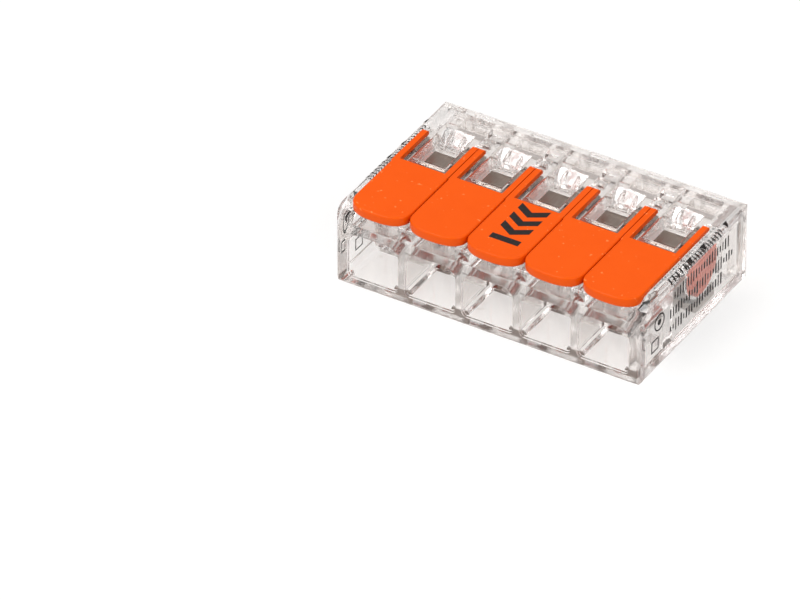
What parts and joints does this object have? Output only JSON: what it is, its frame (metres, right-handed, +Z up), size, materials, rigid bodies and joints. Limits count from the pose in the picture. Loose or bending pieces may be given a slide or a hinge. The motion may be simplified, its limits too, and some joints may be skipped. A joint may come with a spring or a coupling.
{
  "type": "lever wire connector",
  "caption": "Compact clear-plastic splicing connector with a row of orange clamping levers, wire entries along the front face and inspection windows over the clamps.",
  "frame": {"origin": "middle of the footprint of the whole connector, on its flat bottom face", "axes": "+X along the row of poles, -Y is the face with the wire entries, +Z up through the levers"},
  "size_m": [0.0298, 0.0186, 0.0083],
  "materials": {
    "clear_housing": "clear polycarbonate, polished mould faces",
    "lever_orange": "satin moulded orange",
    "tinned_busbar": "tin-plated copper, dull grey",
    "spring_steel": "bright rolled spring strip"
  },
  "bodies": {
    "root": {"main_housing": "clear_housing", "rear_cover": "clear_housing", "busbar": "tinned_busbar", "clamp_spring_1": "spring_steel", "clamp_spring_2": "spring_steel", "clamp_spring_3": "spring_steel", "clamp_spring_4": "spring_steel", "clamp_spring_5": "spring_steel"},
    "lever_body_1": {"lever_1": "lever_orange"},
    "lever_body_2": {"lever_2": "lever_orange"},
    "lever_body_3": {"lever_3": "lever_orange"},
    "lever_body_4": {"lever_4": "lever_orange"},
    "lever_body_5": {"lever_5": "lever_orange"}
  },
  "joints": [
    {"name": "lever_hinge_1", "type": "hinge", "parent": "root", "child": "lever_body_1", "pos_m": [-0.0112, 0.00145, 0.0055], "axis": [-1, 0, 0], "range_deg": [0, 85], "deforming": ["clamp_spring_1"]},
    {"name": "lever_hinge_2", "type": "hinge", "parent": "root", "child": "lever_body_2", "pos_m": [-0.0056, 0.00145, 0.0055], "axis": [-1, 0, 0], "range_deg": [0, 85], "deforming": ["clamp_spring_2"]},
    {"name": "lever_hinge_3", "type": "hinge", "parent": "root", "child": "lever_body_3", "pos_m": [0, 0.00145, 0.0055], "axis": [-1, 0, 0], "range_deg": [0, 85], "deforming": ["clamp_spring_3"]},
    {"name": "lever_hinge_4", "type": "hinge", "parent": "root", "child": "lever_body_4", "pos_m": [0.0056, 0.00145, 0.0055], "axis": [-1, 0, 0], "range_deg": [0, 85], "deforming": ["clamp_spring_4"]},
    {"name": "lever_hinge_5", "type": "hinge", "parent": "root", "child": "lever_body_5", "pos_m": [0.0112, 0.00145, 0.0055], "axis": [-1, 0, 0], "range_deg": [0, 85], "deforming": ["clamp_spring_5"]}
  ]
}
